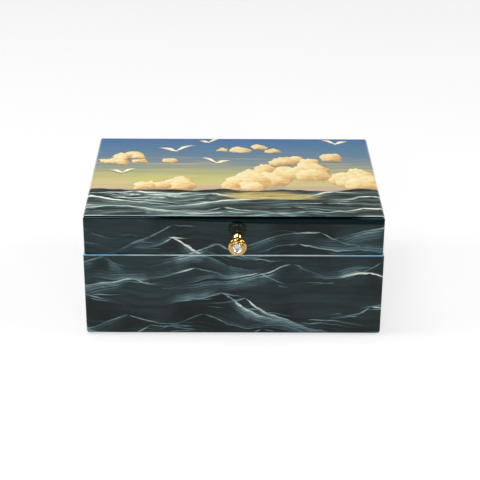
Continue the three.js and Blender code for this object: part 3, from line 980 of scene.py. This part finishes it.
def turned_knob_piece(name, profile, sides=72, closed=False):
    """A turned piece on the knob's axis: (radius, distance before the lid's face) in millimetres."""
    verts, faces = [], []
    count = len(profile)
    for s in range(sides):
        angle = 2 * math.pi * s / sides
        for radius, out in profile:
            x = KNOB_X + radius * MM * math.cos(angle)
            z = KNOB_Z + radius * MM * math.sin(angle)
            verts.append((x, LID_FACE_Y - out * MM, z))
    for s in range(sides):
        after = (s + 1) % sides
        for k in range(count if closed else count - 1):
            upper = (k + 1) % count
            faces.append((s * count + k, s * count + upper, after * count + upper, after * count + k))
    return mesh_object(name, verts, faces, sharp_angle=30)


def knob(brass, glass, foil):
    # radii, then distances before the lid's face
    bore, foot, neck, head, face, seat = 1.75, 4.6, 2.6, 6.8, 5.3, 5.0
    back, bore_end, waist, band, front, seat_floor = 0.1, 6.5, 4.9, 15.2, 16.8, 16.1
    profile = [(AXIS, bore_end), (bore, bore_end), (bore, back), (foot - 0.2, back)]
    profile += curve((foot - 0.2, back), (foot, back), (foot, 0.3), 4)
    profile += [(foot, 0.5)]
    profile += curve((foot, 0.5), (foot - 0.4, 2.0), (neck + 0.1, 4.2), 12)
    profile += curve((neck + 0.1, 4.2), (neck, 4.4), (neck, waist), 6)
    profile += curve((neck, waist), (neck, 12.8), (head - 0.3, 14.65), 14)
    profile += curve((head - 0.3, 14.65), (head, 14.8), (head, 15.0), 4)
    profile += [(head, band)]
    profile += curve((head, band), (head, 16.4), (face, front), 14)
    profile += [(seat, front), (seat, seat_floor), (3.3, seat_floor), (AXIS, 15.35)]
    body = turned_knob_piece("knob_turned_brass", profile)
    fit(body, "lid", ["knob_body"], "brass", brass)
    inner, outer, collet_back, collet_front = 3.4, 4.9, 16.2, 18.2
    ring = [(inner, collet_back), (outer, collet_back), (outer, 16.7)]
    ring += curve((outer, 16.7), (outer, collet_front), (inner, collet_front), 12)
    bezel = turned_knob_piece("knob_collet", ring, closed=True)
    fit(bezel, "lid", ["knob_bezel"], "brass", brass)
    crystal(glass, foil)


def crystal(glass, foil):
    """A brilliant cut: eight-sided table, kite and girdle facets, foiled behind."""
    # radius, distance before the lid's face, count and turn of each ring of corners
    rings = [
        (1.95, 19.45, 8, 0.0),  # table
        (2.7, 18.92, 8, 0.5),  # kites
        (3.28, 18.2, 16, 0.0),  # front of the girdle
        (3.28, 17.8, 16, 0.0),  # back of the girdle
        (1.7, 16.75, 8, 0.5),  # pavilion
    ]
    culet = 15.7
    points = []
    for radius, out, count, turn in rings:
        for i in range(count):
            angle = 2 * math.pi * (i + turn) / count
            x = KNOB_X + radius * MM * math.cos(angle)
            z = KNOB_Z + radius * MM * math.sin(angle)
            points.append((x, LID_FACE_Y - out * MM, z))
    points.append((KNOB_X, LID_FACE_Y - culet * MM, KNOB_Z))
    mesh = bpy.data.meshes.new("knob_brilliant")
    stone = bmesh.new()
    for point in points:
        stone.verts.new(point)
    bmesh.ops.convex_hull(stone, input=stone.verts)
    bmesh.ops.dissolve_limit(
        stone, angle_limit=math.radians(0.5), verts=stone.verts, edges=stone.edges
    )
    bmesh.ops.recalc_face_normals(stone, faces=stone.faces)
    stone.to_mesh(mesh)
    stone.free()
    gem = bpy.data.objects.new("knob_brilliant", mesh)
    bpy.context.scene.collection.objects.link(gem)
    fit(gem, "lid", ["knob_crystal"], "crystal", glass, foil)
    faces_back = 0.25
    for face in mesh.polygons:
        face.material_index = 1 if face.normal.y > faces_back else 0


def finish_solids(brass, steel, wood):
    """The solids that show as they are: hinges, fasteners and the floor panel."""
    for name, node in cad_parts.items():
        if node.hide_render:
            continue
        node.data.materials.clear()
        if name == "floor_panel":
            node.data.materials.append(wood)
        elif name in ("knob_screw", "knob_washer"):
            node.data.materials.append(steel)
        else:
            node.data.materials.append(brass)


# Studio


def floor():
    finish = Finish("pale_floor")
    x, y, z = finish.place()
    mottle = finish.noise(finish.point(x, y, z), 0.004, 2.0)
    colour = finish.mix(srgb(246, 246, 246), srgb(252, 252, 252), mottle)
    # seen directly or in a reflection, the floor is near white, and the box's shadow on it is pale
    direct = finish.node("ShaderNodeLightPath", output="Is Camera Ray")
    mirrored = finish.largest(direct.beside("Is Glossy Ray"), direct.beside("Is Transmission Ray"))
    seen = finish.largest(direct, mirrored)
    colour = finish.tint(colour, srgb(164, 164, 164), seen)
    glow = finish.mix(srgb(0, 0, 0), srgb(212, 212, 212), seen)
    material = finish.surface(
        Base_Color=colour,
        Roughness=0.9,
        Specular_IOR_Level=0.0,
        Emission_Color=glow,
        Emission_Strength=1.0,
    )
    half = 6.0
    corners = [(-half, -half, 0), (half, -half, 0), (half, half, 0), (-half, half, 0)]
    plane = mesh_object("studio_floor", corners, [(0, 1, 2, 3)])
    plane.data.materials.append(material)


def softbox(name, place, aim, width, depth, power):
    light = bpy.data.lights.new(name, "AREA")
    light.shape = "RECTANGLE"
    light.size, light.size_y = width, depth
    light.energy = power
    lamp = bpy.data.objects.new(name, light)
    lamp.location = place
    lamp.rotation_euler = (Vector(aim) - Vector(place)).to_track_quat("-Z", "Y").to_euler()
    bpy.context.scene.collection.objects.link(lamp)


def studio():
    floor()
    case_middle, knob_height = (0, 0, 0.05), (0, 0, 0.08)
    softbox("top_softbox", (-0.3, -0.05, 1.5), case_middle, 0.45, 0.9, 9.2)
    softbox("left_softbox", (-1.2, -0.1, 1.0), case_middle, 0.55, 0.6, 7.6)
    softbox("right_softbox", (1.2, -0.1, 1.0), case_middle, 0.55, 0.6, 7.6)
    softbox("left_window", (-0.4, -1.5, 0.85), knob_height, 0.26, 0.32, 4.5)
    softbox("right_window", (0.56, -1.5, 0.6), knob_height, 0.26, 0.32, 4.0)
    world = bpy.data.worlds.new("studio")
    bpy.context.scene.world = world
    world.use_nodes = True
    room = Nodes(world.node_tree)
    y, z = room.split(room.node("ShaderNodeTexCoord", output="Generated"))[1:]
    # a pale sweep behind and beside the floor that dims upwards, and a dim room in front
    front = room.ramp(-y, 0.25, 0.7)
    above = room.ramp(z, room.blend(0.12, -0.02, front), room.blend(0.25, 0.06, front))
    sweep = room.ramp(z, 0.0, 0.12, 0.735, 0.8)
    level = room.blend(sweep, room.line(front, -0.216, 0.256), above)
    level = room.blend(level, 0.2, room.ramp(z, 0.85, 0.98))
    glow = room.node("ShaderNodeBackground", None, {"Color": srgb(255, 255, 255), "Strength": level})
    out = world.node_tree.nodes.new("ShaderNodeOutputWorld")
    world.node_tree.links.new(glow.socket, out.inputs[0])


def camera():
    back = Vector((
        math.sin(CAMERA_AZIMUTH) * math.cos(CAMERA_ELEVATION),
        -math.cos(CAMERA_AZIMUTH) * math.cos(CAMERA_ELEVATION),
        math.sin(CAMERA_ELEVATION),
    ))
    right = (-back).cross(Vector((0, 0, 1))).normalized()
    up = right.cross(-back)
    right, up = (
        math.cos(CAMERA_ROLL) * right + math.sin(CAMERA_ROLL) * up,
        math.cos(CAMERA_ROLL) * up - math.sin(CAMERA_ROLL) * right,
    )
    data = bpy.data.cameras.new("camera")
    data.sensor_width = 36.0
    data.lens = CAMERA_LENS
    data.clip_start = 0.01
    eye = bpy.data.objects.new("camera", data)
    turn = Matrix((right, up, back)).transposed().to_4x4()
    eye.matrix_world = Matrix.Translation(CAMERA_TARGET + back * CAMERA_DISTANCE) @ turn
    bpy.context.scene.collection.objects.link(eye)
    bpy.context.scene.camera = eye


case_sea = [sea_lacquer("case_sea_long", True, False), sea_lacquer("case_sea_short", False, False)]
lid_sea = [sea_lacquer("lid_sea_long", True, True), sea_lacquer("lid_sea_short", False, True)]
brass = polished_brass()
pile = velvet()
case_walls(case_sea)
lid_rails(lid_sea)
lid_panel(painted_lid(), lid_sea)
lining(pile)
padding("floor_padding", "floor_pad", "case", pile, up=True)
padding("lid_padding", "lid_pad", "lid", pile, up=False)
baize_sheet(baize())
knob(brass, cut_glass(), mirror_foil())
finish_solids(brass, zinc_steel(), bare_wood())
studio()
camera()
bpy.context.scene.view_settings.view_transform = "Standard"
